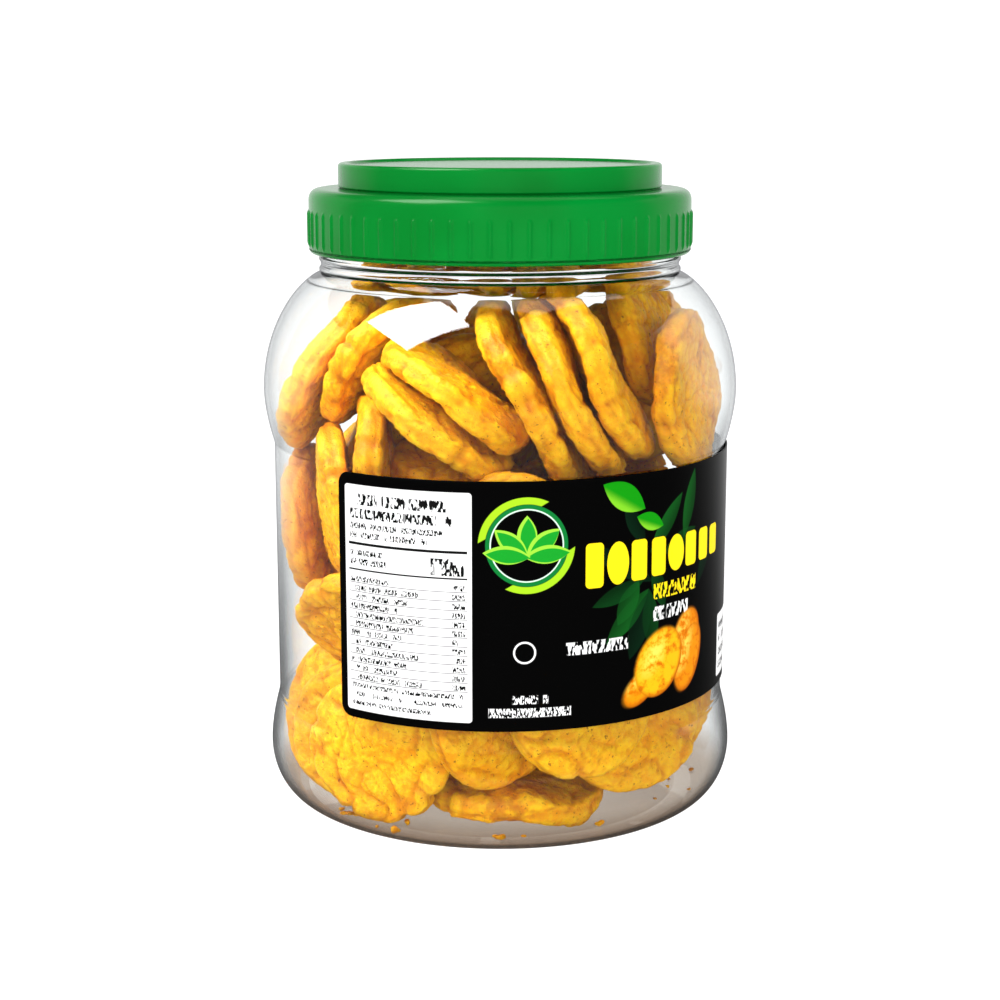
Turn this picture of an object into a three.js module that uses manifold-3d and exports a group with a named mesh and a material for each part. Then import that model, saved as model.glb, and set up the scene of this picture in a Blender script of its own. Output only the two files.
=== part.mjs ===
// A wide-mouth clear plastic jar of tostones: a blown jar with a recessed label panel,
// a two-tier ribbed screw lid, one wrap label, and the loose fried plantain discs inside.
// Millimetres, +Z up, origin at the centre of the jar's standing ring. The label faces -Y.
import * as THREE from "three";
import { mergeVertices } from "three/addons/utils/BufferGeometryUtils.js";
import Module from "manifold-3d";

const wasm = await Module();
wasm.setup();

const seatGap = 0.3; // clearance kept between touching pieces

// Jar: heights are taken from the standing ring, radii are of the outer wall.
const jarSides = 40;
const wall = 1.0;
const finishWall = 1.8; // the thicker moulded neck
const standRadius = 59.5;
const standWidth = 5.5;
const pushUp = 6; // how far the middle of the base is drawn up
const domeRing = 36; // where the drawn-up base is bent between its middle and the ring
const heel = 5; // height at which the inside turns from the floor into the side
const lowerBulge = { radius: 70.1, height: 15.5 };
const panel = { radius: 67.4, bottom: 31, top: 107.5 };
const upperBulge = { radius: 70.2, height: 123 };
const neck = { radius: 52.4, bottom: 157.5, bead: 0.9, rim: 178.6 };

// Lid: a hollow cap with a raised grip tier on top.
const lidSides = 44;
const lidWall = 1.8;
const skirt = { radius: 56.1, bottom: 163, top: 181.7, rounding: 3.4 };
const tier = { radius: 47.4, height: 7.3, rimWidth: 2.6, recess: 0.8 };
const rib = { count: 66, width: 2.7, proud: 0.75, bottom: 165, top: 175.6 };

// Label: one thin band on the panel, bare at the back. Angles go round from -Y towards +X.
const label = { from: -41, to: 117, bottom: 36.8, top: 106.8, thickness: 0.3, corner: 3.5 };

// Tostones: flattened slices of green plantain, fried twice.
const slice = { thickness: 9.4, sides: 11, unevenness: 0.06, faceReach: 0.75, rimReach: 0.12 };
const loose = { count: 29, least: 46, most: 58, seed: 11, tries: 60, reach: 50, fromWall: 18 };
const fill = { bottom: 10, top: 150, line: 164 };
const settling = {
  rounds: 900, calm: 420, hold: 0.08, sink: 0.05, heldGive: 0.08, clearance: 0.32,
  wallPoints: 18, pairPoints: 10,
};
const seating = { rounds: 40, touching: 0.8, search: 6 };

const plastic = (colour, roughness) =>
  new THREE.MeshStandardMaterial({ color: colour, roughness, metalness: 0 });
const clearPlastic = plastic(0xeef2f2, 0.05);
const greenPlastic = plastic(0x08a045, 0.35);
const printedFilm = plastic(0x0a0a0a, 0.3);
const friedPlantain = plastic(0xf0b428, 0.6);

function meshOf(name, geometry, material) {
  const mesh = new THREE.Mesh(geometry, material);
  mesh.name = name;
  return mesh;
}

// Turn a (radius, height) outline about the Z axis.
function turned(outline, sides) {
  const geometry = new THREE.LatheGeometry(outline, sides);
  geometry.rotateX(Math.PI / 2);
  return geometry;
}

function toSolid(geometry) {
  const bare = geometry.clone();
  bare.deleteAttribute("normal");
  bare.deleteAttribute("uv");
  const merged = mergeVertices(bare, 1e-4);
  return new wasm.Manifold(new wasm.Mesh({
    numProp: 3,
    vertProperties: Float32Array.from(merged.attributes.position.array),
    triVerts: Uint32Array.from(merged.index.array),
  }));
}

function toGeometry(solid) {
  const { numProp, vertProperties, triVerts } = solid.getMesh();
  const positions = new Float32Array((vertProperties.length / numProp) * 3);
  for (let i = 0; i < positions.length / 3; i++) {
    positions.set(vertProperties.subarray(i * numProp, i * numProp + 3), i * 3);
  }
  const geometry = new THREE.BufferGeometry();
  geometry.setAttribute("position", new THREE.BufferAttribute(positions, 3));
  geometry.setIndex([...triVerts]);
  return geometry;
}

// ---- Jar -------------------------------------------------------------------

// Outer radius of the jar's side at a height above the heel.
function sideRadius(height) {
  if (height < lowerBulge.height) {
    const drop = 1 - height / lowerBulge.height;
    return standRadius + (lowerBulge.radius - standRadius) * Math.sqrt(1 - drop ** 2);
  }
  if (height < panel.bottom) {
    const climb = (height - lowerBulge.height) / (panel.bottom - lowerBulge.height);
    return lowerBulge.radius - (lowerBulge.radius - panel.radius) * climb ** 1.7;
  }
  if (height < panel.top) return panel.radius;
  if (height < upperBulge.height) {
    const drop = (upperBulge.height - height) / (upperBulge.height - panel.top);
    return upperBulge.radius - (upperBulge.radius - panel.radius) * drop ** 1.7;
  }
  if (height < neck.bottom) {
    const climb = (height - upperBulge.height) / (neck.bottom - upperBulge.height);
    return neck.radius + (upperBulge.radius - neck.radius) * (1 - climb ** 2) ** 0.68;
  }
  return neck.radius;
}

// Height of the base's outer face at a radius inside the standing ring.
function baseHeight(radius) {
  const inner = standRadius - standWidth;
  return radius < inner ? pushUp * (1 - (radius / inner) ** 2) : 0;
}

const point = (radius, height) => new THREE.Vector2(radius, height);
const sideHeights = [3.2, 8.5, lowerBulge.height, 24, panel.bottom, panel.top, 112.5,
  upperBulge.height, 137, 146.5, 152.5, 156, neck.bottom];
const beadHeight = neck.bottom + neck.bead;
const mouth = neck.radius - finishWall;
const innerDrop = 0.4 * wall; // the inside of a bend lies a little under the outside

const jarOutside = [
  ...[0, domeRing, standRadius - standWidth, standRadius]
    .map((radius) => point(radius, baseHeight(radius))),
  ...sideHeights.map((height) => point(sideRadius(height), height)),
  point(neck.radius + neck.bead, beadHeight),
  point(neck.radius, beadHeight + neck.bead), point(neck.radius, neck.rim),
];
const jarInside = [
  point(mouth, neck.rim), point(mouth, beadHeight),
  ...sideHeights.slice(2, -1).reverse()
    .map((height) => point(sideRadius(height) - wall, height - innerDrop)),
  point(sideRadius(heel) - wall, heel), point(standRadius, wall),
  ...[standRadius - standWidth, domeRing, 0]
    .map((radius) => point(radius, baseHeight(radius) + wall)),
];

// ---- Lid -------------------------------------------------------------------

function lidOutline() {
  const shoulder = [0.25, 0.6, 1].map((share) => {
    const angle = share * Math.PI / 2;
    const radius = skirt.radius - skirt.rounding * (1 - Math.cos(angle));
    return point(radius, skirt.top - skirt.rounding * (1 - Math.sin(angle)));
  });
  const crown = skirt.top + tier.height;
  const rimInner = tier.radius - tier.rimWidth;
  const underside = neck.rim + seatGap;
  const innerRadius = skirt.radius - lidWall;
  const tierInner = tier.radius - lidWall;
  return [
    point(innerRadius, skirt.bottom), point(skirt.radius, skirt.bottom),
    point(skirt.radius, skirt.top - skirt.rounding), ...shoulder,
    point(tier.radius - 0.6, skirt.top), point(tier.radius, skirt.top + 1),
    point(tier.radius, crown - 0.9), point(tier.radius - 0.9, crown),
    point(rimInner, crown), point(rimInner - tier.recess, crown - tier.recess),
    point(0, crown - tier.recess), point(0, crown - tier.recess - lidWall),
    point(tierInner, crown - tier.recess - lidWall), point(tierInner, underside),
    point(innerRadius, underside),
  ];
}

// One upright grip rib, its back edge sunk into the skirt.
function ribGeometry() {
  const depth = 1;
  const outline = new THREE.Shape([
    new THREE.Vector2(-rib.width / 2, -depth), new THREE.Vector2(rib.width / 2, -depth),
    new THREE.Vector2(rib.width / 4, rib.proud), new THREE.Vector2(-rib.width / 4, rib.proud),
  ]);
  const geometry = new THREE.ExtrudeGeometry(outline,
    { depth: rib.top - rib.bottom, bevelEnabled: false });
  return geometry.translate(0, skirt.radius, rib.bottom);
}

function lidGeometry() {
  let solid = toSolid(turned([...lidOutline(), lidOutline()[0]], lidSides));
  const ribs = [];
  for (let i = 0; i < rib.count; i++) {
    ribs.push(toSolid(ribGeometry().rotateZ(i * 2 * Math.PI / rib.count)));
  }
  for (const one of ribs) solid = solid.add(one);
  return toGeometry(solid);
}

// ---- Label -----------------------------------------------------------------

// A curved strip: each station is one upright four-cornered section of the film.
function labelGeometry() {
  const inner = panel.radius + seatGap;
  const degree = inner * Math.PI / 180; // arc length of one degree
  const span = label.to - label.from;
  const corner = label.corner / degree;
  const turns = [0, corner * 0.12, corner * 0.45, corner];
  for (let turn = 9; turn < span - corner - 2; turn += 9) turns.push(turn);
  turns.push(span - corner, span - corner * 0.45, span - corner * 0.12, span);
  const positions = [];
  const index = [];
  turns.forEach((turn, station) => {
    const fromEnd = Math.min(turn, span - turn) * degree;
    const inset = Math.max(0, label.corner - fromEnd);
    const cut = label.corner - Math.sqrt(label.corner ** 2 - inset ** 2);
    const angle = THREE.MathUtils.degToRad(label.from + turn);
    const corners = [
      [inner, label.bottom + cut], [inner + label.thickness, label.bottom + cut],
      [inner + label.thickness, label.top - cut], [inner, label.top - cut],
    ];
    for (const [radius, height] of corners) {
      positions.push(radius * Math.sin(angle), -radius * Math.cos(angle), height);
    }
    if (station === 0) return;
    for (let side = 0; side < 4; side++) {
      const a = (station - 1) * 4 + side;
      const b = (station - 1) * 4 + (side + 1) % 4;
      index.push(a, a + 4, b, b, a + 4, b + 4);
    }
  });
  const last = (turns.length - 1) * 4;
  index.push(0, 1, 2, 0, 2, 3, last, last + 2, last + 1, last, last + 3, last + 2);
  const geometry = new THREE.BufferGeometry();
  geometry.setAttribute("position", new THREE.Float32BufferAttribute(positions, 3));
  geometry.setIndex(index);
  return geometry;
}

// ---- Tostones: where each one lies -------------------------------------------

// A repeatable source of numbers from 0 to 1.
function drawsFrom(seed) {
  let state = seed;
  return () => {
    state = (state + 0x6d2b79f5) | 0;
    let mixed = Math.imul(state ^ (state >>> 15), 1 | state);
    mixed = (mixed + Math.imul(mixed ^ (mixed >>> 7), 61 | mixed)) ^ mixed;
    return ((mixed ^ (mixed >>> 14)) >>> 0) / 4294967296;
  };
}

// Directions are given by a turn round the jar from -Y towards +X, and a tilt upwards.
function direction(turn, tilt) {
  const round = THREE.MathUtils.degToRad(turn);
  const up = THREE.MathUtils.degToRad(tilt);
  return new THREE.Vector3(
    Math.sin(round) * Math.cos(up), -Math.cos(round) * Math.cos(up), Math.sin(up));
}

function laid({ around, out, height, turn, tilt, diameter }, held) {
  const centre = direction(around, 0).multiplyScalar(out).setZ(height);
  const facing = direction(turn, tilt);
  return {
    centre, facing, held, give: held ? settling.heldGive : 1,
    firstCentre: centre.clone(), firstFacing: facing.clone(),
    half: slice.thickness / 2, radius: diameter / 2,
  };
}

// The slices whose places are chosen: around the label's edges and against the wall.
const chosen = [
  // leaning pair at the upper left, then the two that slope down to the right
  { around: -84, out: 48, height: 127, turn: -90, tilt: 28, diameter: 53 },
  { around: -62, out: 38, height: 131, turn: -84, tilt: 36, diameter: 48 },
  { around: -17, out: 41, height: 130, turn: 84, tilt: 60, diameter: 49 },
  { around: -20, out: 46, height: 120, turn: 84, tilt: 60, diameter: 50 },
  // standing and lying slices just above the label
  { around: -50, out: 56, height: 110, turn: -46, tilt: -2, diameter: 42 },
  { around: -14, out: 36, height: 106, turn: -10, tilt: 80, diameter: 46 },
  { around: 2, out: 60, height: 90, turn: 0, tilt: 4, diameter: 47 },
  // three long slices leaning up into the neck
  { around: 12, out: 40, height: 130, turn: 86, tilt: 36, diameter: 57 },
  { around: 27, out: 41, height: 131, turn: 84, tilt: 37, diameter: 58 },
  { around: 42, out: 43, height: 134, turn: 84, tilt: 39, diameter: 60 },
  // upper right, faces outwards
  { around: 82, out: 42, height: 140, turn: 32, tilt: 18, diameter: 45 },
  { around: 104, out: 42, height: 130, turn: 44, tilt: 10, diameter: 52 },
  { around: 60, out: 55, height: 122, turn: 42, tilt: 8, diameter: 48 },
  // down the left edge of the label
  { around: -62, out: 58, height: 90, turn: -60, tilt: 2, diameter: 46 },
  { around: -92, out: 57, height: 84, turn: -90, tilt: 4, diameter: 46 },
  { around: -70, out: 50, height: 68, turn: -58, tilt: 24, diameter: 46 },
  { around: -56, out: 58, height: 50, turn: -52, tilt: 6, diameter: 44 },
  // bottom left, overlapping like shingles
  { around: -72, out: 53, height: 30, turn: -50, tilt: 10, diameter: 50 },
  { around: -50, out: 55, height: 22, turn: -36, tilt: 14, diameter: 44 },
  { around: -32, out: 48, height: 28, turn: -16, tilt: 16, diameter: 44 },
  // bottom front, faces outwards, one lying under them
  { around: -6, out: 60, height: 35, turn: -5, tilt: -4, diameter: 46 },
  { around: 23, out: 58, height: 37, turn: 22, tilt: -6, diameter: 45 },
  { around: 12, out: 33, height: 7.5, turn: 10, tilt: 86, diameter: 55 },
  // bottom right, slices stacked one behind another along the wall
  { around: 42, out: 51, height: 31, turn: 26, tilt: 4, diameter: 45 },
  { around: 56, out: 49, height: 31, turn: 32, tilt: 6, diameter: 47 },
  { around: 71, out: 50, height: 31, turn: 40, tilt: 4, diameter: 48 },
  { around: 88, out: 52, height: 33, turn: 52, tilt: 2, diameter: 48 },
  { around: 72, out: 58, height: 62, turn: 68, tilt: 4, diameter: 46 },
];

// The rest lie anyhow, spread so that each starts as far from the others as its draws allow.
function looseOnes(others) {
  const draw = drawsFrom(loose.seed);
  const placed = [...others];
  for (let i = 0; i < loose.count; i++) {
    let best = null;
    for (let attempt = 0; attempt < loose.tries; attempt++) {
      const height = fill.bottom + (fill.top - fill.bottom) * draw();
      const reach = Math.min(sideRadius(height) - loose.fromWall, loose.reach);
      const around = 360 * draw();
      const pose = {
        around, height, out: reach * Math.sqrt(draw()),
        turn: around + 150 * (draw() - 0.5), tilt: 5 + 75 * draw() ** 1.4,
        diameter: THREE.MathUtils.lerp(loose.least, loose.most, draw()),
      };
      const candidate = laid(pose, false);
      const room = Math.min(...placed.map((one) => one.centre.distanceTo(candidate.centre)));
      if (!best || room > best.room) best = { room, candidate };
    }
    placed.push(best.candidate);
  }
  return placed;
}

// A slice is a flat round core fattened by half its thickness; this is the core's nearest point.
function onCore(slab, point) {
  const offset = point.clone().sub(slab.centre);
  offset.addScaledVector(slab.facing, -offset.dot(slab.facing));
  const reach = slab.radius - slab.half;
  if (offset.length() > reach) offset.setLength(reach);
  return offset.add(slab.centre);
}

// Move and turn a slice as a push at one of its points would.
function push(slab, at, along, amount) {
  const lever = at.clone().sub(slab.centre);
  const twist = lever.clone().cross(along);
  const inertia = 0.3 * slab.radius ** 2;
  const share = amount / (1 + twist.lengthSq() / inertia);
  slab.centre.addScaledVector(along, share);
  twist.multiplyScalar(share / inertia);
  const angle = twist.length();
  if (angle > 1e-9) slab.facing.applyAxisAngle(twist.divideScalar(angle), angle).normalize();
}

// Points round a core's edge, at a share of its radius.
function edgePoints(slab, count, share = 1) {
  const side = new THREE.Vector3(1, 0, 0).cross(slab.facing);
  if (side.length() < 0.2) side.set(0, 1, 0).cross(slab.facing);
  side.setLength((slab.radius - slab.half) * share);
  const across = slab.facing.clone().cross(side);
  return Array.from({ length: count }, (_, i) => {
    const angle = i * 2 * Math.PI / count;
    return slab.centre.clone().addScaledVector(side, Math.cos(angle))
      .addScaledVector(across, Math.sin(angle));
  });
}

// Two cores lie nearest at an edge of one of them: the best of a ring of tries is then
// carried back and forth between the two until it settles.
function nearestPoints(a, b) {
  let best = { distance: Infinity };
  for (const [one, other] of [[a, b], [b, a]]) {
    for (const edge of edgePoints(one, settling.pairPoints)) {
      const distance = onCore(other, edge).distanceToSquared(edge);
      if (distance < best.distance) best = { distance, edge };
    }
  }
  let onB = best.edge;
  let onA = onB;
  for (let step = 0; step < 8; step++) {
    onA = onCore(a, onB);
    onB = onCore(b, onA);
  }
  return [onA, onB];
}

function partPair(a, b) {
  const reach = a.radius + b.radius + settling.clearance;
  if (a.centre.distanceToSquared(b.centre) > reach ** 2) return;
  const [onA, onB] = nearestPoints(a, b);
  const along = onA.clone().sub(onB);
  let distance = along.length();
  if (distance < 0.05) {
    along.copy(a.centre).sub(b.centre);
    distance = 0;
  }
  const overlap = a.half + b.half + settling.clearance - distance;
  if (overlap <= 0) return;
  along.normalize();
  const shareOfA = a.give / (a.give + b.give);
  push(a, onA, along, overlap * shareOfA);
  push(b, onB, along.clone().negate(), overlap * (1 - shareOfA));
}

// The jar's inner wall and the fill line, as stretches with the normal that points inwards.
function roomWalls() {
  const flats = Math.cos(Math.PI / jarSides); // a flat side is nearer the axis than its corners
  const line = jarInside.filter((corner) => corner.y < fill.line)
    .map((corner) => point(corner.x * flats, corner.y));
  line.unshift(point(0, fill.line), point(mouth * flats, fill.line));
  return line.slice(1).map((end, i) => {
    const start = line[i];
    const along = end.clone().sub(start);
    const length = along.length();
    along.divideScalar(length);
    return { start, along, length, inwards: point(along.y, -along.x) };
  });
}

// How far a point of a section is from the nearest wall, and the way back inside.
function nearestWall(walls, at) {
  let nearest = { distance: Infinity };
  for (const { start, along, length, inwards } of walls) {
    const offset = at.clone().sub(start);
    const run = THREE.MathUtils.clamp(offset.dot(along), 0, length);
    offset.addScaledVector(along, -run);
    const distance = offset.length();
    if (distance >= nearest.distance) continue;
    nearest = { distance, inwards, inside: offset.dot(inwards) >= 0 };
  }
  return nearest;
}

// Keep a slice's core its half thickness clear of the walls, tested at its edge and middle.
function keepInside(slab, walls) {
  for (const share of [1, 0.5, 0]) {
    for (const at of edgePoints(slab, share ? settling.wallPoints : 1, share)) {
      const out = Math.hypot(at.x, at.y);
      const { distance, inwards, inside } = nearestWall(walls, point(out, at.z));
      const needed = slab.half + settling.clearance - (inside ? distance : -distance);
      if (needed <= 0) continue;
      const round = inwards.x / Math.max(out, 1);
      push(slab, at, new THREE.Vector3(at.x * round, at.y * round, inwards.y).normalize(), needed);
    }
  }
}

// Pushes overlapping slices apart while the chosen ones are drawn back to their places and
// the loose ones sink a little, then lets them all come to rest clear of each other.
function settle(slabs) {
  const walls = roomWalls();
  for (let round = 0; round < settling.rounds; round++) {
    const calm = round > settling.rounds - settling.calm;
    if (!calm) {
      for (const slab of slabs) {
        slab.centre.z -= slab.held ? settling.sink / 4 : settling.sink;
        if (!slab.held) continue;
        slab.centre.lerp(slab.firstCentre, settling.hold);
        slab.facing.lerp(slab.firstFacing, settling.hold).normalize();
      }
    }
    for (let i = 0; i < slabs.length; i++) {
      for (let j = i + 1; j < slabs.length; j++) partPair(slabs[i], slabs[j]);
    }
    for (const slab of slabs) keepInside(slab, walls);
  }
  return slabs;
}

// ---- Tostones: the shape of one ----------------------------------------------

// A fat uneven disc: two rings round each face's edge, joined over a rounded rim.
function sliceGeometry(slab, draw) {
  const lobes = 3 + Math.floor(3 * draw());
  const phase = 2 * Math.PI * draw();
  const outline = (angle) => {
    const wave = 0.5 + 0.3 * Math.cos(2 * angle + phase) + 0.2 * Math.cos(lobes * angle - phase);
    return slab.radius * (1 - slice.unevenness * wave);
  };
  const rings = [
    { inset: slice.faceReach, lift: 0.95 }, { inset: slice.rimReach, lift: 0.45 },
    { inset: slice.rimReach, lift: -0.45 }, { inset: slice.faceReach, lift: -0.95 },
  ];
  const positions = [0, 0, slab.half * (0.96 + 0.04 * draw())];
  for (const { inset, lift } of rings) {
    for (let i = 0; i < slice.sides; i++) {
      const angle = i * 2 * Math.PI / slice.sides;
      const radius = outline(angle) - slab.half * inset;
      positions.push(radius * Math.cos(angle), radius * Math.sin(angle), slab.half * lift);
    }
  }
  positions.push(0, 0, -slab.half * (0.96 + 0.04 * draw()));
  const lastPoint = positions.length / 3 - 1;
  const index = [];
  const at = (ring, i) => 1 + ring * slice.sides + i % slice.sides;
  for (let i = 0; i < slice.sides; i++) {
    index.push(0, at(0, i), at(0, i + 1));
    for (let ring = 0; ring < rings.length - 1; ring++) {
      index.push(at(ring, i), at(ring + 1, i), at(ring, i + 1));
      index.push(at(ring, i + 1), at(ring + 1, i), at(ring + 1, i + 1));
    }
    index.push(lastPoint, at(3, i + 1), at(3, i));
  }
  const geometry = new THREE.BufferGeometry();
  geometry.setAttribute("position", new THREE.Float32BufferAttribute(positions, 3));
  geometry.setIndex(index);
  return geometry;
}

// Solids that come within `touching` of each other, gathered into clusters.
function clustersOf(pieces) {
  const clusters = [];
  for (const piece of pieces) {
    const joined = clusters.filter((cluster) =>
      cluster.some((other) => gapBetween(piece, other, seating.touching) < seating.touching));
    for (const cluster of joined) clusters.splice(clusters.indexOf(cluster), 1);
    clusters.push([piece, ...joined.flat()]);
  }
  return clusters;
}

function gapBetween(a, b, search) {
  if (a.mesh && b.mesh) {
    const apart = a.mesh.position.distanceTo(b.mesh.position) - a.radius - b.radius;
    if (apart > search) return search;
  }
  return a.solid.minGap(b.solid, search);
}

// Lowers each slice or cluster that hangs clear of the rest until it rests on something.
// A move no longer than the gap around the cluster cannot make it overlap anything.
function seat(slices, jarSolid) {
  const pieces = [{ solid: jarSolid }, ...slices];
  for (let round = 0; round < seating.rounds; round++) {
    const loose = clustersOf(pieces).filter((cluster) => !cluster.includes(pieces[0]));
    if (!loose.length) return;
    for (const cluster of loose) {
      const others = pieces.filter((piece) => !cluster.includes(piece));
      const gaps = cluster.flatMap((piece) =>
        others.map((other) => gapBetween(piece, other, seating.search)));
      const fall = Math.min(...gaps) - seatGap;
      for (const piece of cluster) {
        piece.mesh.position.z -= fall;
        piece.solid = piece.solid.translate([0, 0, -fall]);
      }
    }
  }
}

function tostones(jarSolid) {
  const slabs = settle(looseOnes(chosen.map((pose) => laid(pose, true))));
  const draw = drawsFrom(29);
  const slices = slabs.map((slab, i) => {
    const name = `tostone_${String(i + 1).padStart(2, "0")}`;
    const mesh = meshOf(name, sliceGeometry(slab, draw), friedPlantain);
    mesh.position.copy(slab.centre);
    mesh.quaternion.setFromUnitVectors(new THREE.Vector3(0, 0, 1), slab.facing);
    mesh.updateMatrixWorld();
    const solid = toSolid(mesh.geometry.clone().applyMatrix4(mesh.matrixWorld));
    return { mesh, solid, radius: slab.radius };
  });
  seat(slices, jarSolid);
  return slices.map((one) => one.mesh);
}

const filledJar = new THREE.Group();
const jarWall = turned([...jarOutside, ...jarInside], jarSides);
filledJar.add(meshOf("jar", jarWall, clearPlastic));
filledJar.add(meshOf("lid", lidGeometry(), greenPlastic));
filledJar.add(meshOf("label", labelGeometry(), printedFilm));
filledJar.add(...tostones(toSolid(jarWall)));

export default filledJar;
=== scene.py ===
import math

import bpy
import numpy as np
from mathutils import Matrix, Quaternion, Vector


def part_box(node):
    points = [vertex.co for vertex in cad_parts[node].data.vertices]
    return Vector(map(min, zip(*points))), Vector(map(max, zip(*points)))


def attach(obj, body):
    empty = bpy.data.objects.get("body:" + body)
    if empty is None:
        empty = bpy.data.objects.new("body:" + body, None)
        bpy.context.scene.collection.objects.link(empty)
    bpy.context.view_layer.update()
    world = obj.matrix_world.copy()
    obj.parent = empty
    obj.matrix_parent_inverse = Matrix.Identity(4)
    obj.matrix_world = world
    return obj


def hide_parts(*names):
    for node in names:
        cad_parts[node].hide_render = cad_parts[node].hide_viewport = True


# A clear wide-mouth jar of tostones with a green screw lid and a printed wrap label.
# Metres, +Z up, the origin at the centre of the jar's standing ring, the label facing -Y.
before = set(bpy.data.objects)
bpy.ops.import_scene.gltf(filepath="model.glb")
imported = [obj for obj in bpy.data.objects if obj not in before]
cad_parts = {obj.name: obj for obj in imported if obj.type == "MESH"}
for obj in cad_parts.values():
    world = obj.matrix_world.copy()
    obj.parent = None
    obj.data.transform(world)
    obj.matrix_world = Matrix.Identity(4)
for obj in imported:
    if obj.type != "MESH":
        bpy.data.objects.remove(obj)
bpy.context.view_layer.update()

# ---- Jar ---------------------------------------------------------------------
# A jar blown from clear plastic in one piece: a drawn-up base on a flat ring, a bulge, a
# straight panel that takes the label, a second bulge, and a thicker neck with two beads.

mm = 0.001
stand_radius = 59.5 * mm
stand_width = 5.5 * mm
push_up = 6 * mm
low_bulge = 70.1 * mm
low_bulge_z = 15.5 * mm
panel_radius = 67.4 * mm
panel_low = 31 * mm
panel_high = 107.5 * mm
high_bulge = 70.2 * mm
high_bulge_z = 123 * mm
neck_radius = 52.4 * mm
neck_low = 157.5 * mm
neck_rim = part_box("jar")[1][2]
mouth_radius = 50.6 * mm
throat_low = neck_low - 3 * mm
jar_wall = 1.0 * mm
bulge_curve = 1.7
shoulder_curve = 0.68
panel_ridge, ridge_width = 0.14 * mm, 0.6 * mm
bead = 0.9 * mm
bead_heights = (neck_low + 0.9 * mm, neck_low + 3.9 * mm)
jar_sides = 192


def side_radius(height):
    """Outer radius of the jar at a height: a quarter ellipse out from the standing ring to the
    lower bulge, a power curve in to the straight panel and another out to the upper bulge,
    then a fattened quarter ellipse in to the neck. The panel's lower edge has a fine ridge."""
    heel = np.clip(1 - height / low_bulge_z, 0, 1)
    into = np.clip((height - low_bulge_z) / (panel_low - low_bulge_z), 0, 1)
    out_of = np.clip((high_bulge_z - height) / (high_bulge_z - panel_high), 0, 1)
    climb = np.clip((height - high_bulge_z) / (neck_low - high_bulge_z), 0, 1)
    radius = np.select(
        [height < low_bulge_z, height < panel_low, height < panel_high, height < high_bulge_z],
        [stand_radius + (low_bulge - stand_radius) * np.sqrt(1 - heel**2),
         low_bulge - (low_bulge - panel_radius) * into**bulge_curve,
         np.full_like(height, panel_radius),
         high_bulge - (high_bulge - panel_radius) * out_of**bulge_curve],
        neck_radius + (high_bulge - neck_radius) * (1 - climb**2) ** shoulder_curve)
    return radius + panel_ridge * np.exp(-((height - panel_low) / ridge_width) ** 2)


def base_height(radius):
    """Height of the base's outer face: a parabola inside the standing ring, and 0 on it."""
    return push_up * np.clip(1 - (radius / (stand_radius - stand_width)) ** 2, 0, 1)


def jar_profile():
    """The outside goes from the middle of the base to the rim, with its beads as half circles.
    The inside is the outside moved in by the wall, along each point's normal, and straight in
    the neck."""
    inner_ring = stand_radius - stand_width
    base_radius = np.linspace(0, inner_ring, 24)
    base = np.stack([base_radius, base_height(base_radius)], 1)
    ring = np.array([[inner_ring + stand_width / 2, 0], [stand_radius, 0]])
    heights = np.concatenate([
        low_bulge_z * (1 - np.cos(np.linspace(0.16, np.pi / 2, 26))),
        np.linspace(low_bulge_z, panel_low - 2 * mm, 12)[1:],
        panel_low + np.linspace(-1.5, 1.5, 13) * mm,
        np.linspace(panel_low + 3 * mm, panel_high - 2 * mm, 5),
        panel_high + np.linspace(-0.6, 3.6, 17) * mm,
        np.linspace(panel_high + 5 * mm, high_bulge_z, 10),
        high_bulge_z + (neck_low - high_bulge_z) * np.sin(np.linspace(0.04, np.pi / 2, 46)),
    ])
    side = np.stack([side_radius(heights), heights], 1)
    turn = np.linspace(-np.pi / 2, np.pi / 2, 9)[1:-1]
    beads = [np.stack([neck_radius + bead * np.cos(turn), height + bead * np.sin(turn)], 1)
             for height in bead_heights]
    finish = np.array([[neck_radius, neck_rim - 0.6 * mm], [neck_radius - 0.4 * mm, neck_rim]])
    bare = np.concatenate([base, ring, side])
    outside = np.concatenate([bare, *beads, finish])
    along = np.gradient(bare, axis=0)
    along /= np.linalg.norm(along, axis=1, keepdims=True)
    inside = bare + jar_wall * np.stack([-along[:, 1], along[:, 0]], 1)
    inside[0, 0] = 0
    inside = inside[inside[:, 1] < throat_low]
    throat = np.array([[mouth_radius + 0.3 * mm, neck_low - 0.5 * mm],
                       [mouth_radius, neck_low + 2 * mm],
                       [mouth_radius, neck_rim]])
    return np.concatenate([outside, throat[::-1], inside[::-1]])


def grid_faces(rows, columns, first=0):
    """Quads of a grid whose columns join up into rings, ring after ring."""
    ring = first + np.arange(rows - 1)[:, None] * columns
    here = np.arange(columns)[None, :]
    there = (here + 1) % columns
    return np.stack([ring + here, ring + there, ring + columns + there, ring + columns + here],
                    -1).reshape(-1, 4)


def capped_rings(rings):
    """Closes a stack of rings (rows, columns, 3), whose first and last rows are single points
    on the axis, into one shell. Quads join the rings, and fans of triangles close the ends. The
    outside's rings go from the bottom up, so that the faces point outwards."""
    rows, columns = rings.shape[:2]
    points = np.concatenate([rings[0, :1], rings[1:-1].reshape(-1, 3), rings[-1, :1]])
    here = np.arange(columns)
    there = (here + 1) % columns
    top = np.stack([np.zeros_like(here), 1 + there, 1 + here], 1)
    last_ring = 1 + (rows - 3) * columns
    end = np.stack([np.full_like(here, len(points) - 1), last_ring + here, last_ring + there], 1)
    return points, grid_faces(rows - 2, columns, 1), np.concatenate([top, end])


def even_turn(sides):
    """The angles of a number of sides, evenly round a full turn."""
    return np.linspace(0, 2 * np.pi, sides, endpoint=False)


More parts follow.
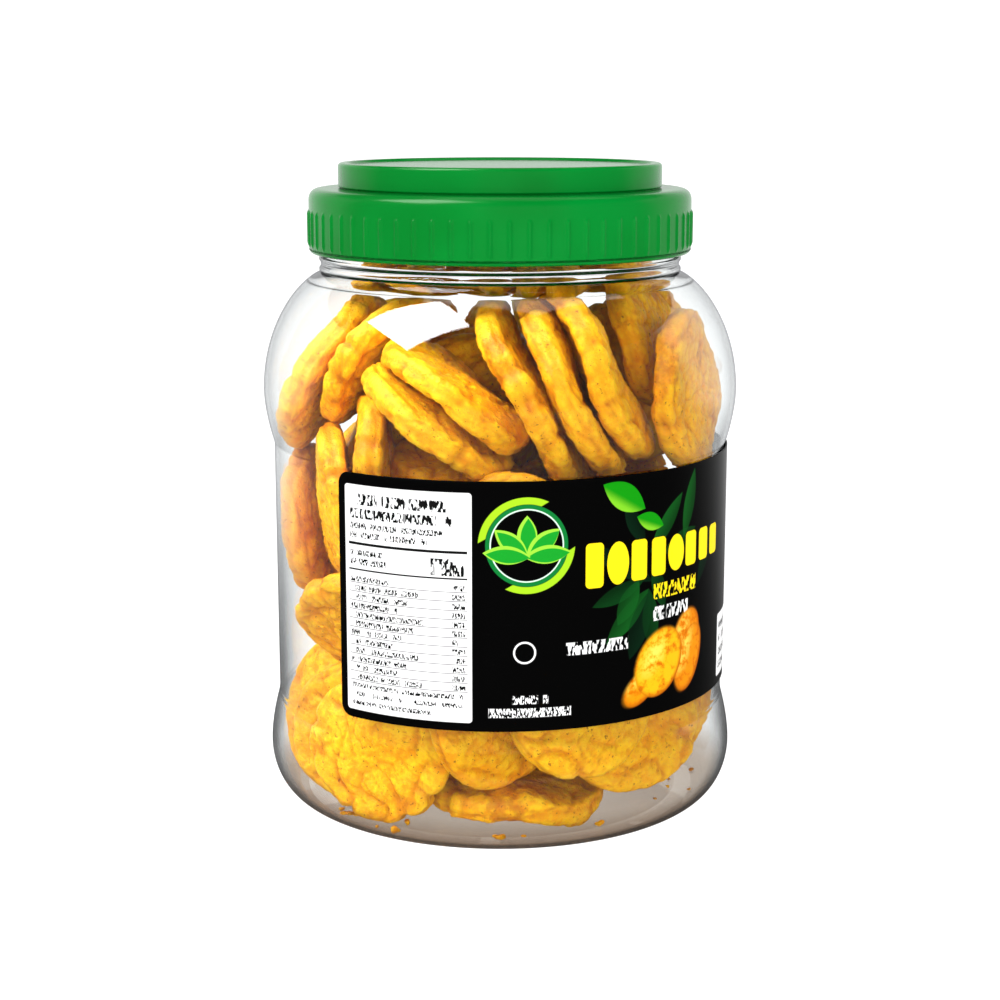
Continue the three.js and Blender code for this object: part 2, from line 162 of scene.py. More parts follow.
def turned(profile, angle):
    """A (radius, height) profile turned about Z: x = radius cos a, y = radius sin a."""
    radius, height = profile[:, :1], profile[:, 1:]
    return np.stack([radius * np.cos(angle), radius * np.sin(angle),
                     height + 0 * angle], -1)


no_triangles = np.empty((0, 3), int)


def smooth_mesh(name, points, quads, material, triangles=no_triangles):
    """Puts arrays of points, quads and triangles into a smooth shaded mesh object."""
    mesh = bpy.data.meshes.new(name)
    mesh.vertices.add(len(points))
    mesh.vertices.foreach_set("co", points.astype(np.float32).ravel())
    mesh.loops.add(quads.size + triangles.size)
    mesh.loops.foreach_set("vertex_index", np.concatenate([quads.ravel(), triangles.ravel()]))
    mesh.polygons.add(len(quads) + len(triangles))
    corner_counts = np.repeat([4, 3], [len(quads), len(triangles)])
    mesh.polygons.foreach_set("loop_start", np.cumsum(corner_counts) - corner_counts)
    mesh.update(calc_edges=True)
    mesh.materials.append(material)
    mesh.shade_smooth()
    thing = bpy.data.objects.new(name, mesh)
    bpy.context.scene.collection.objects.link(thing)
    return thing


def shown(name, points, quads, triangles, material, slot):
    """Makes a piece of the object, which stands still on the root body."""
    piece = smooth_mesh(name, points, quads, material, triangles)
    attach(piece, "root")
    return piece


class Wire:
    """An output in a material's nodes. Arithmetic written on it adds Math nodes."""

    def __init__(self, tree, socket=None):
        self.tree = tree
        self.socket = socket

    def node(self, kind, settings=None, sockets=None, out=0):
        """Adds a node: first its settings, then a value or a link for each named socket."""
        made = self.tree.nodes.new(kind)
        for name, value in (settings or {}).items():
            setattr(made, name, value)
        for name, value in (sockets or {}).items():
            if isinstance(value, Wire):
                self.tree.links.new(value.socket, made.inputs[name])
            else:
                made.inputs[name].default_value = value
        return Wire(self.tree, made.outputs[out] if made.outputs else None)

    def beside(self, name):
        """Another output of the node that this one comes from."""
        return Wire(self.tree, self.socket.node.outputs[name])

    def math(self, operation, first, second=0.0):
        return self.node("ShaderNodeMath", {"operation": operation}, {0: first, 1: second})

    def __add__(self, other):
        return self.math("ADD", self, other)

    def __sub__(self, other):
        return self.math("SUBTRACT", self, other)

    def __rsub__(self, other):
        return self.math("SUBTRACT", other, self)

    def __mul__(self, other):
        return self.math("MULTIPLY", self, other)

    def __truediv__(self, other):
        return self.math("DIVIDE", self, other)

    def __pow__(self, other):
        return self.math("POWER", self, other)

    __radd__ = __add__
    __rmul__ = __mul__

    def least(self, other):
        return self.math("MINIMUM", self, other)

    def most(self, other):
        return self.math("MAXIMUM", self, other)

    def size(self):
        return self.math("ABSOLUTE", self)

    def between(self, low, high):
        """Rises smoothly from 0 at low to 1 at high, or falls when high is the lesser."""
        return self.node("ShaderNodeMapRange", {"interpolation_type": "SMOOTHSTEP"},
                         {"Value": self, "From Min": low, "From Max": high})

    def mix(self, first, second, factor):
        """The first colour where the factor is 0, and the second where it is 1."""
        return self.node("ShaderNodeMix", {"data_type": "RGBA"},
                         {0: factor, 6: first, 7: second}, out=2)

    def noise(self, place, scale, detail=2.0, roughness=0.5):
        """Cloudy values round 0.5. The scale counts patches in one unit of the place."""
        return self.node("ShaderNodeTexNoise", None, {
            "Vector": place, "Scale": scale, "Detail": detail, "Roughness": roughness})


def blank_material(name):
    """A material with no nodes, and a wire to write them with."""
    material = bpy.data.materials.new(name)
    material.use_nodes = True
    material.node_tree.nodes.clear()
    return material, Wire(material.node_tree)


def rgb(red, green, blue):
    """A colour given as screen values out of 255, in linear light."""
    share = np.array([red, green, blue]) / 255
    linear = np.where(share > 0.04045, ((share + 0.055) / 1.055) ** 2.4, share / 12.92)
    return (*linear.tolist(), 1.0)


def clear_plastic():
    """Clear plastic with painted shade: grey where it is seen edge on, and tan round the foot,
    a painted shade and reflection of the slices seen through the thick base. Lamps shine
    through it."""
    material, wire = blank_material("clear_plastic")
    place = wire.node("ShaderNodeTexCoord", out="Object")
    height = wire.node("ShaderNodeSeparateXYZ", None, {"Vector": place}, out="Z")
    foot = height.between(13 * mm, 1 * mm)
    edge = wire.node("ShaderNodeLayerWeight", None, {"Blend": 0.5}, out="Facing")
    clear, painted_edge_shade, painted_foot_shade = rgb(254, 255, 255), rgb(118, 120, 126), rgb(206, 194, 182)
    # painted shade: the plastic greys where it is seen edge on
    tint = wire.mix(clear, painted_edge_shade, edge ** 6.0)
    # painted shade and reflection of the slices: the foot turns tan
    tint = wire.mix(tint, painted_foot_shade, foot * 0.8)
    body = wire.node("ShaderNodeBsdfGlass", None, {"Color": tint, "Roughness": 0.0, "IOR": 1.42})
    lamps = wire.node("ShaderNodeLightPath", out="Is Shadow Ray")
    open_way = wire.node("ShaderNodeBsdfTransparent", None, {"Color": rgb(255, 255, 255)})
    both = wire.node("ShaderNodeMixShader", None, {0: lamps, 1: body, 2: open_way})
    wire.node("ShaderNodeOutputMaterial", None, {"Surface": both})
    return material


jar_rings = turned(jar_profile(), even_turn(jar_sides))
jar = shown("jar_shell", *capped_rings(jar_rings), clear_plastic(), "clear_plastic")
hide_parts("jar")

# ---- Tostones ----------------------------------------------------------------
# Thick slices of green plantain, fried, pressed flat and fried again. The pressing splits
# the rim and ruffles the faces, and the oil leaves a lumpy golden crust with browned creases.
# The creases also carry painted shade, and the mounds carry painted highlights.

slice_columns = 108
face_rings = 25
rim_rings = 17
lump_size = 15 * mm
blister_size = 6 * mm
pebble_size = 3 * mm
grain_size = 2.4 * mm
warp_size, warp = 34 * mm, 0.9 * mm
out_of_round = 0.045
scallop_least, scallop_most = 0.012, 0.034
split_cut = 1.6 * mm
wider, thicker = 1.03, 1.02
skin_gap = 0.3 * mm


def swell(points, length, draw, waves=12):
    """A smooth field from about -1 to 1: the sum of plane waves of one length, in directions
    and with phases that are drawn."""
    ways = draw.normal(size=(waves, 3))
    ways /= np.linalg.norm(ways, axis=1, keepdims=True)
    phases = draw.uniform(0, 2 * np.pi, waves)
    return np.cos(points @ ways.T * (2 * np.pi / length) + phases).sum(-1) / math.sqrt(waves / 2)


def mounds(points, length, roundness, draw):
    """Mounds from 0 in the creases between them to nearly 1: the size of a smooth field, with
    its tops evened. They are rounder where the roundness is greater."""
    return 1 - np.exp(-np.abs(swell(points, length, draw)) / roundness)


def drawn_wave(angle, count, draw):
    """A number of waves round a slice, which start at a drawn place."""
    return np.cos(count * angle + draw.uniform(0, 6))


def ruffled_outline(angle, draw):
    """A slice's edge as a share of its radius: slow waves that make it out of round, and
    scallops, the size of a faster wave whose pace itself goes up and down."""
    slow = 0.5 + 0.25 * drawn_wave(angle, 2, draw)
    slow = slow + 0.25 * drawn_wave(angle, 3, draw)
    pace = 1.6 * drawn_wave(angle, 2, draw) + 1.2 * drawn_wave(angle, 3, draw)
    scallops = np.abs(np.cos(draw.integers(5, 9) * angle + pace))
    scallop_depth = draw.uniform(scallop_least, scallop_most) * (0.2 + 0.8 * slow)
    return 1.0 - out_of_round * slow - scallop_depth * (1 - scallops) ** 1.5


def tostone_mesh(radius, half, draw):
    """A fat disc as rings over a round rim between the middles of its two faces, worked out from
    the upper one and handed back from the lower one. On the rim a point is the core's edge plus half the thickness along its
    own direction. Splits run in from the rim. Mounds of three sizes with creases between them
    push the skin out that way, less so on the rim. The largest stand mostly near the edge of
    the faces, like petals, a shallow seam wanders along the rim, and the whole slice is a
    little warped. Also gives how much each point lies in a crease and how much on a mound."""
    angle = even_turn(slice_columns)[None, :]
    to_edge = np.linspace(0, 1, face_rings + 1) ** 0.85
    core = np.concatenate([to_edge, np.ones(rim_rings - 2), to_edge[::-1]])[:, None]
    lean = np.concatenate([np.full(face_rings, 90), np.linspace(90, -90, rim_rings),
                           np.full(face_rings, -90)])
    lean = np.radians(lean)[:, None]
    outward = np.cos(lean)
    upward = np.sign(lean) * np.abs(np.sin(lean)) ** 0.85
    outline = radius * ruffled_outline(angle, draw)
    split = np.zeros_like(angle)
    for _ in range(draw.integers(3, 6)):
        off = np.angle(np.exp(1j * (angle - draw.uniform(0, 2 * np.pi) - 0.05 * core)))
        split = split + draw.uniform(0.5, 1.0) * np.exp(-(off / draw.uniform(0.04, 0.08)) ** 2)
    split = np.clip(split, 0, 1) * np.clip((core - 0.5) / 0.5, 0, 1) ** 1.5
    reach = core * (outline - half * 0.9) + half * outward ** 0.65 - split_cut * split * outward
    height = half * upward * (0.9 + 0.1 * np.cos(3 * core))
    points = np.stack([reach * np.cos(angle), reach * np.sin(angle), height + 0 * angle], -1)
    way = np.stack([outward * np.cos(angle), outward * np.sin(angle), upward + 0 * angle], -1)
    near_rim = np.clip((core - 0.35) / 0.5, 0, 1)
    petals = mounds(points * [1, 1, 1.3], lump_size, 0.4, draw)
    blisters = mounds(points, blister_size, 0.5, draw)
    pebbles = mounds(points, pebble_size, 0.6, draw)
    grain = swell(points, grain_size, draw)
    wander = 0.4 * drawn_wave(angle, 2, draw) + 0.2 * drawn_wave(angle, 5, draw)
    seam = np.exp(-((lean - wander) / 0.2) ** 2)
    petal_lift = (0.3 + 1.2 * near_rim) * (petals - 0.8)
    blister_lift = 0.55 * (blisters - 0.75) + 0.36 * (pebbles - 0.7)
    lift = mm * ((1 - 0.75 * outward) * (petal_lift + blister_lift)
                 + 0.1 * (1 - 0.7 * outward) * grain - 0.7 * split - 0.5 * seam)
    points = points + way * lift[..., None]
    points[..., 2] += warp * swell(points * [1, 1, 0.2], warp_size, draw)
    points[0], points[-1] = points[0].mean(0), points[-1].mean(0)
    # how much each point lies in a crease, which the crust browns and darkens with painted shade,
    # and on a mound, which it lightens with a painted highlight
    crease = (np.clip(1 - petals / 0.5, 0, 1) * near_rim + 0.6 * np.clip(1 - blisters / 0.5, 0, 1)
              + 0.35 * np.clip(1 - pebbles / 0.4, 0, 1) + split + 0.6 * seam) * (1 - 0.3 * outward)
    mound = np.clip(petals + blisters * 0.6 - 0.8, 0, 1) * (0.4 + 0.6 * near_rim)
    return points[::-1], np.clip(crease, 0, 1)[::-1], mound[::-1]


def lies_as(node):
    """Where a slice lies: its middle, its two directions in the flat and its facing (the one
    with the least spread), and its radius and half thickness."""
    corners = np.empty(len(node.data.vertices) * 3)
    node.data.vertices.foreach_get("co", corners)
    corners = np.unique(corners.reshape(-1, 3).round(6), axis=0)
    middle = corners.mean(0)
    axes = np.linalg.svd(corners - middle, full_matrices=False)[2]
    axes[2] = np.cross(axes[0], axes[1])
    local = (corners - middle) @ axes.T
    return middle, axes, np.hypot(local[:, 0], local[:, 1]).max(), np.abs(local[:, 2]).max()


def kept_inside(points):
    """Presses points that would stick through the jar flat against the inside of its wall or
    mouth, where x and y shrink together, or of its floor, where the height is raised."""
    radius, height = np.hypot(points[..., 0], points[..., 1]), points[..., 2]
    room = np.where(height > throat_low, mouth_radius + 0.1 * mm, side_radius(height) - jar_wall)
    points[..., :2] *= np.minimum(1, (room - skin_gap) / np.maximum(radius, mm))[..., None]
    floor = jar_wall + base_height(radius)
    points[..., 2] = np.maximum(height, floor + skin_gap / 2)
    return points


def fried_plantain():
    """A golden crust: amber and yellow in mottles, a painted highlight of paler yellow on the
    mounds, orange brown creases that are partly browned and partly painted shade, a few
    browned patches and fine dark specks, with a thin film of oil. Each slice has a tone of
    its own. The noises' patches run from about 17 mm, where it is browned, down to 1.3 mm,
    the specks."""
    material, wire = blank_material("fried_plantain")
    place = wire.node("ShaderNodeTexCoord", out="Object")
    crease = wire.node("ShaderNodeAttribute", {"attribute_name": "crease"}, out="Fac")
    mound = wire.node("ShaderNodeAttribute", {"attribute_name": "mound"}, out="Fac")
    tone = wire.node("ShaderNodeAttribute", {"attribute_name": "tone"}, out="Fac")
    amber, deep_amber, slice_amber = rgb(244, 160, 2), rgb(236, 148, 3), rgb(232, 146, 3)
    golden, painted_mound_highlight = rgb(254, 204, 8), rgb(253, 208, 38)
    crease_brown_and_shade, brown, dark_brown = rgb(190, 90, 3), rgb(176, 80, 3), rgb(118, 54, 4)
    patches = wire.noise(place, 75.0, 3.0, 0.55).between(0.36, 0.66)
    mottle = wire.noise(place, 330.0, 5.0, 0.7).between(0.38, 0.64)
    colour = wire.mix(amber, golden, mottle)
    colour = wire.mix(colour, deep_amber, patches * 0.45)
    # painted highlight: the mounds are a paler yellow
    colour = wire.mix(colour, painted_mound_highlight, mound * (0.35 + 0.5 * mottle))
    colour = wire.mix(colour, slice_amber, tone * 0.3)
    # browned and painted shade: the creases turn orange brown
    colour = wire.mix(colour, crease_brown_and_shade, crease * (0.4 + 0.5 * mottle))
    browned = wire.noise(place, 58.0, 5.0, 0.7).between(0.56, 0.68)
    colour = wire.mix(colour, brown, browned * 0.6)
    specks = wire.noise(place, 760.0, 3.0, 0.7).between(0.62, 0.7)
    colour = wire.mix(colour, dark_brown, specks * 0.8)
    pits = wire.noise(place, 640.0, 4.0, 0.65)
    skin = wire.node("ShaderNodeBump", None, {"Strength": 0.8, "Distance": 0.0008, "Height": pits})
    crust = wire.node("ShaderNodeBsdfPrincipled", None, {
        "Base Color": colour, "Roughness": 0.42, "Specular IOR Level": 0.13, "Normal": skin})
    wire.node("ShaderNodeOutputMaterial", None, {"Surface": crust})
    return material


def with_values(piece, name, values):
    """Writes one value for each point of a piece's mesh."""
    layer = piece.data.attributes.new(name, "FLOAT", "POINT")
    layer.data.foreach_set("value", np.ascontiguousarray(values, dtype=np.float32))


def of_points(rings):
    """The values of a stack of rings in the order of the points of its closed shell."""
    return np.concatenate([rings[0, :1], rings[1:-1].ravel(), rings[-1, :1]])


crust = fried_plantain()
slice_draw = np.random.default_rng(7)
for name in sorted(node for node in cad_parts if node.startswith("tostone_")):
    middle, axes, radius, half = lies_as(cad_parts[name])
    rings, crease, mound = tostone_mesh(radius * wider, half * thicker, slice_draw)
    rings = kept_inside(rings @ axes + middle)
    tostone = shown("fried_" + name, *capped_rings(rings), crust, "fried_plantain")
    with_values(tostone, "crease", of_points(crease))
    with_values(tostone, "mound", of_points(mound))
    with_values(tostone, "tone", np.full(len(tostone.data.vertices), slice_draw.uniform(0, 1)))
    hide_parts(name)

# ---- Crumbs ------------------------------------------------------------------
# Flakes of crust that broke off the slices and lie on the floor, round the standing ring.
# All are one joined mesh, and each is a small uneven ball.

crumb_count = 34
crumb_least, crumb_most = 0.35, 1.15
crumbs_from, crumbs_to = 52, 60
crumb_draw = np.random.default_rng(19)
latitude = np.linspace(-np.pi / 2, np.pi / 2, 9)[:, None]
longitude = even_turn(12)[None, :]
ball = np.stack([np.cos(latitude) * np.cos(longitude), np.cos(latitude) * np.sin(longitude),
                 np.sin(latitude) + 0 * longitude], -1)
crumb_shells = []
for _ in range(crumb_count):
    size = crumb_draw.uniform(crumb_least, crumb_most) * mm
    around = crumb_draw.uniform(-np.pi, np.pi)
    out = crumb_draw.uniform(crumbs_from, crumbs_to) * mm
    stretch = crumb_draw.uniform(0.6, 1.5, 3) * [1, 1, 0.7]
    crumb = ball * size * stretch
    crumb = crumb * (1 + 0.3 * swell(crumb, 2.2 * size, crumb_draw)[..., None])
    crumb[0], crumb[-1] = crumb[0].mean(0), crumb[-1].mean(0)
    floor_z = jar_wall + base_height(out) + 0.1 * mm
    place = [out * math.sin(around), -out * math.cos(around), floor_z - crumb[..., 2].min()]
    crumb_shells.append(capped_rings(crumb + place))
first_points = np.arange(crumb_count) * len(crumb_shells[0][0])
shown("crumbs", np.concatenate([points for points, _, _ in crumb_shells]),
      np.concatenate([first + shell[1] for first, shell in zip(first_points, crumb_shells)]),
      np.concatenate([first + shell[2] for first, shell in zip(first_points, crumb_shells)]),
      crust, "fried_plantain")

# ---- Label -------------------------------------------------------------------
# One sheet of glossy printed film, stuck round the panel but not across the back. Its black
# field carries a white table, a round leaf badge, a row of yellow blocks where a title would
# be, and pictured slices. All of it is generic, and nothing on it can be read.

label_low, label_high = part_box("label")[0][2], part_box("label")[1][2]
label_height = label_high - label_low
label_from, label_to = math.radians(-41), math.radians(117)
label_inner = 67.7 * mm
label_film = 0.3 * mm
label_corner = 3.5 * mm
label_length = (label_to - label_from) * (label_inner + label_film)


def label_strip():
    """The film as upright sections at stations round the jar. A section is a closed loop up
    the outside and down the inside, and near the ends it is shorter by the corners' arcs. A
    row close to each edge keeps the film's shading flat up to it. Also gives each point's
    place on the flat sheet, from 0 to 1 both ways."""
    ease = label_corner * (1 - np.cos(np.linspace(0, np.pi / 2, 10)))
    along = np.concatenate([ease, np.linspace(label_corner, label_length - label_corner, 150)[1:-1],
                            label_length - ease[::-1]])[:, None]
    inset = np.clip(label_corner - np.minimum(along, label_length - along), 0, None)
    cut = label_corner - np.sqrt(label_corner**2 - inset**2)
    up = np.array([0, 0.004, 0.12, 0.25, 0.5, 0.75, 0.88, 0.996, 1])[None, :]
    height = cut + (label_height - 2 * cut) * up
    height = np.concatenate([height, height[:, ::-1]], 1)
    radius = np.repeat([label_inner + label_film, label_inner], up.shape[1])[None, :]
    angle = label_from + along / (label_inner + label_film)
    rings = np.stack([radius * np.sin(angle), -radius * np.cos(angle), label_low + height], -1)
    flat = np.stack([along / label_length + 0 * height, height / label_height], -1)
    return rings, flat


def label_print():
    """The print, drawn in millimetres from the label's lower left corner. Every shape is a
    mask that is 1 inside and 0 outside, and each is laid over what came before."""
    material, wire = blank_material("label_film")
    flat = wire.node("ShaderNodeUVMap", {"uv_map": "flat"})
    parts = wire.node("ShaderNodeSeparateXYZ", None, {"Vector": flat})
    across = parts * (label_length / mm)
    up = parts.beside("Y") * (label_height / mm)
    soft_edge = 0.22

    def box(left, low, right, high, corner=0.0):
        """A rectangle with round corners, from the distance to its edge."""
        from_x = (across - (left + right) / 2).size() - ((right - left) / 2 - corner)
        from_y = (up - (low + high) / 2).size() - ((high - low) / 2 - corner)
        if not corner:
            return from_x.most(from_y).between(soft_edge / 2, -soft_edge / 2)
        outer = (from_x.most(0.0) ** 2.0 + from_y.most(0.0) ** 2.0) ** 0.5
        return (outer - corner).between(soft_edge / 2, -soft_edge / 2)

    def turned_place(x, y, degrees):
        """Millimetres along and across an axis through a point, turned by some degrees."""
        cosine, sine = math.cos(math.radians(degrees)), math.sin(math.radians(degrees))
        return (across - x) * cosine + (up - y) * sine, (up - y) * cosine - (across - x) * sine

    def oval(x, y, length, width, degrees=0.0, soft=soft_edge):
        """An ellipse, from the distance to its middle in half axes, with a soft edge."""
        u, v = turned_place(x, y, degrees)
        reach = ((u / (length / 2)) ** 2.0 + (v / (width / 2)) ** 2.0) ** 0.5
        return reach.between(1 + soft / width, 1 - soft / width)

    def leaf(x, y, length, width, degrees):
        """A pointed leaf: its half width is a parabola along its length."""
        u, v = turned_place(x, y, degrees)
        half = (1 - (u / (length / 2)) ** 2.0) * (width / 2)
        return (half - v.size()).between(-soft_edge / 2, soft_edge / 2)

    def stroke_rows(stroke, row_height, row_base=0.0):
        """Uneven strokes with gaps between words, new in every row, that make a bar read as a
        line of print from afar and hold no letters."""
        row = wire.math("FLOOR", (up - row_base) / row_height)
        along = across / stroke
        spot = wire.node("ShaderNodeCombineXYZ", None, {"X": along, "Y": up / (2.4 * stroke)})
        strokes = wire.noise(spot, 1.1, 1.0).between(0.46, 0.52)
        spot = wire.node("ShaderNodeCombineXYZ", None, {"X": along, "Y": row * 7.3})
        words = wire.noise(spot, 0.19, 0.0).between(0.34, 0.38)
        return strokes * words

    def any_of(masks):
        """The union of masks."""
        union = masks[0]
        for mask in masks[1:]:
            union = union.most(mask)
        return union

    white, ink, yellow = rgb(246, 246, 246), rgb(18, 18, 18), rgb(252, 222, 24)
    colour = rgb(4, 4, 4)

    # dark foliage behind the title, then two bright leaves above it, each as the place of its
    # middle, its length, its width and its turn
    fronds = ((84, 45, 24, 6, 150), (83, 37, 18, 5, 200), (86, 30, 20, 6, 225),
              (90, 27, 20, 7, 250), (94, 28, 18, 6, 275), (100, 55, 20, 5, 50),
              (88, 56, 14, 5, 120), (106, 49, 16, 5, 20), (110, 59, 20, 5, 75),
              (120, 43, 20, 5, 60), (97, 37, 14, 5, 110), (86, 34, 14, 6, 240))
    for order, (x, y, length, width, degrees) in enumerate(fronds):
        shade = (rgb(8, 34, 18), rgb(10, 56, 20), rgb(16, 82, 26))[order % 3]
        spine = turned_place(x, y, degrees)[1].between(-width / 2, width / 2)
        colour = wire.mix(colour, shade, leaf(x, y, length, width, degrees) * (0.45 + 0.5 * spine))
    for x, y, length, width, degrees in ((84.5, 64.0, 16, 7.6, -30), (93.5, 56.2, 10.5, 5, -20)):
        side = turned_place(x, y, degrees)[1].between(-width / 2.4, 0.1)
        blade = wire.mix(rgb(122, 196, 40), rgb(18, 142, 14), side)
        colour = wire.mix(colour, blade, leaf(x, y, length, width, degrees))

    # round badge: a dark green ring with a thin white line, two lime arcs and a sprig of leaves
    badge_x, badge_y = 56, 52.3
    sprig = 5.6

    def badge_ring(radius, width):
        off = ((across - badge_x) ** 2.0 + (up - badge_y) ** 2.0) ** 0.5 - radius
        return (off.size() - width / 2).between(soft_edge / 2, -soft_edge / 2)

    slant = (across - badge_x) * 0.5 - (up - badge_y) * 0.86
    arcs = badge_ring(12.4, 1.9) * slant.size().between(7.2, 7.5)
    colour = wire.mix(colour, rgb(158, 206, 34), arcs)
    colour = wire.mix(colour, rgb(16, 116, 50), badge_ring(10.6, 1.5))
    colour = wire.mix(colour, rgb(214, 236, 220), badge_ring(10.0, 0.35))
    for length, width, degrees in ((11.5, 4.6, 90), (12, 4.4, 40), (12, 4.4, 140),
                                   (13, 4.2, 5), (13, 4.2, 175)):
        x = badge_x + sprig * math.cos(math.radians(degrees))
        y = badge_y - 3 + sprig * math.sin(math.radians(degrees))
        edge = leaf(x, y, length, width + 0.9, degrees)
        blade = leaf(x + 0.3, y - 0.3, length - 1, width - 0.4, degrees)
        colour = wire.mix(colour, rgb(150, 214, 60), edge)
        colour = wire.mix(colour, rgb(24, 150, 40), blade)

    # title: a row of plain yellow blocks and two discs, each a little less tall than the one
    # before, then three lines of strokes under it
    title_left, title_pitch = 72.5, 7.2
    block_width, disc_width = 5.4, 7.0
    for place in range(8):
        left = title_left + place * title_pitch
        low, high = 39.4 + 0.3 * place, 52.0 - 0.25 * place
        block = box(left, low, left + block_width, high, 1.3)
        if place in (1, 4):
            block = oval(left + disc_width * 0.4, (low + high) / 2, disc_width, high - low)
        colour = wire.mix(colour, yellow, block)
    bold = stroke_rows(1.2, 6.0, 33.0)
    colour = wire.mix(colour, yellow, box(95, 33.6, 114, 38.0) * bold)
    white_lines = any_of([box(95, 27.4, 110, 31.4), box(67, 21.0, 86, 24.6)])
    colour = wire.mix(colour, white, white_lines * bold)

    # small ring mark and two lines of strokes under it
    ring = oval(55.4, 22.4, 6.3, 6.3) - oval(55.4, 22.4, 5.3, 5.3)
    colour = wire.mix(colour, white, ring)
    small = any_of([box(52, 7.8, 62, 10.2), box(45.5, 4.0, 68.5, 6.6)])
    colour = wire.mix(colour, white, small * stroke_rows(0.62, 3.8, 3.6))

    # pictured plantain slices at the lower right, one behind the other, with browned edges,
    # each as the place of its middle, its length, its width, its turn and its colour
    spot = wire.node("ShaderNodeCombineXYZ", None, {"X": across, "Y": up})
    flecks = wire.noise(spot, 0.3, 5.0, 0.65)
    for x, y, length, width, degrees, tint in (
            (110, 21, 15, 12, 60, rgb(230, 134, 8)), (111, 14, 20, 12, 66, rgb(232, 140, 10)),
            (91, 9, 14, 8, 38, rgb(232, 146, 12)), (98, 15, 21, 17, 50, rgb(250, 180, 20))):
        colour = wire.mix(colour, rgb(176, 84, 4), oval(x, y, length, width, degrees, 0.5))
        middle = oval(x - 0.3, y + 0.3, length - 1.0, width - 1.0, degrees, 2.0)
        picture = wire.mix(rgb(206, 106, 4), tint, flecks.between(0.32, 0.54))
        shine = oval(x - 2.4, y + 2.4, length / 2, width / 3, degrees, 5.0)
        shine = shine * flecks.between(0.4, 0.6)
        colour = wire.mix(colour, wire.mix(picture, rgb(255, 220, 90), shine), middle)

    # white table: bold heading bars, rules, and rows of fine strokes with a column at the right
    table_left, table_right, table_low, table_high = 2.4, 41.0, 2.4, label_height / mm - 3.2
    table = box(table_left, table_low, table_right, table_high, 1.0)
    rows = 12
    row_pitch, row_top = 2.55, 41.6
    text_left, text_right = 4.2, 39.2
    rule_left, rule_right = 3.6, 39.8
    fine = [box(text_left, 54.5, 33, 56.2), box(text_left, 51.9, 29, 53.6),
            box(text_left, 46.9, 15, 48.5), box(text_left, 44.3, 17, 46.1)]
    rules = [box(rule_left, 49.9, rule_right, 50.7), box(rule_left, 42.7, rule_right, 43.2)]
    for row in range(rows):
        base = row_top - row_pitch * (row + 1)
        indent = 1.6 * (row % 3 > 0)
        reach = 18 + 11 * ((row * 5) % 7) / 7
        fine.append(box(text_left + indent, base + 0.45, reach, base + 2.0))
        fine.append(box(35.5, base + 0.45, text_right, base + 2.0))
        rules.append(box(rule_left, base + 0.05, rule_right, base + 0.25))
    for row in range(3):
        base = row_top - row_pitch * (rows + row + 1)
        fine.append(box(text_left, base + 0.6, 38.5 - 9 * (row == 2), base + 1.9))
    heads = any_of([box(text_left, 61.2, 34, 64.4), box(text_left, 57.4, 35.5, 60.2),
                    box(29.5, 43.6, text_right, 48.4)])
    marks = (any_of(fine) * stroke_rows(0.45, row_pitch, row_top)).most(any_of(rules))
    marks = marks.most(heads * stroke_rows(0.95, 6.9, 53.7))
    colour = wire.mix(colour, white, table)
    colour = wire.mix(colour, ink, table * marks)

    # second white box towards the back, with four lines of strokes
    second = box(132, 2.4, 164, 21.5, 1.0)
    lines = [box(134, 4.6 + 4 * row, 162 - 5 * (row % 2), 6.7 + 4 * row) for row in range(4)]
    colour = wire.mix(colour, white, second)
    colour = wire.mix(colour, ink, any_of(lines) * stroke_rows(0.6, 4.0, 4.0))

    film = wire.node("ShaderNodeBsdfPrincipled", None, {
        "Base Color": colour, "Roughness": 0.3, "Specular IOR Level": 0.02})
    wire.node("ShaderNodeOutputMaterial", None, {"Surface": film})
    return material


label_rings, label_flat = label_strip()
stations, loop = label_rings.shape[:2]
step = np.arange(loop // 2 - 1)
start_cap = np.stack([loop - 1 - step, loop - 2 - step, step + 1, step], 1)
end_cap = start_cap[:, ::-1] + (stations - 1) * loop
label_quads = np.concatenate([grid_faces(stations, loop), start_cap, end_cap])[:, ::-1]
label = shown("printed_label", label_rings.reshape(-1, 3), label_quads, no_triangles,
              label_print(), "label_film")
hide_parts("label")
corner_of = np.empty(len(label.data.loops), dtype=np.int32)
label.data.loops.foreach_get("vertex_index", corner_of)
label_uv = label.data.uv_layers.new(name="flat")
label_uv.data.foreach_set("uv", label_flat.reshape(-1, 2)[corner_of].astype(np.float32).ravel())

# ---- Lid ---------------------------------------------------------------------
# A moulded screw cap in green plastic: a ribbed skirt, a round shoulder, and a narrower tier
# with a low rim round a sunken middle, where the gate of the mould has left a small mark.

skirt_radius = 56.1 * mm
skirt_low, skirt_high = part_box("lid")[0][2], 181.7 * mm
lid_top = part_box("lid")[1][2]
lid_wall = 1.8 * mm
lid_gap = 0.3 * mm
shoulder_round, foot_round = 3.6 * mm, 1.6 * mm
tier_radius = 47.4 * mm
tier_round = 1.3 * mm
tier_rim, tier_recess = 2.6 * mm, 0.8 * mm
corner_steps = 9
rib_count = 66
rib_proud = 0.5 * mm
rib_low, rib_high, rib_fade = 165 * mm, 175.6 * mm, 1.2 * mm
rib_half, rib_flank = 0.136, 0.085
rib_columns = np.array([-0.5, -0.34, -0.2, -0.13, -0.08, -0.03, 0.03, 0.08, 0.13, 0.2, 0.34])


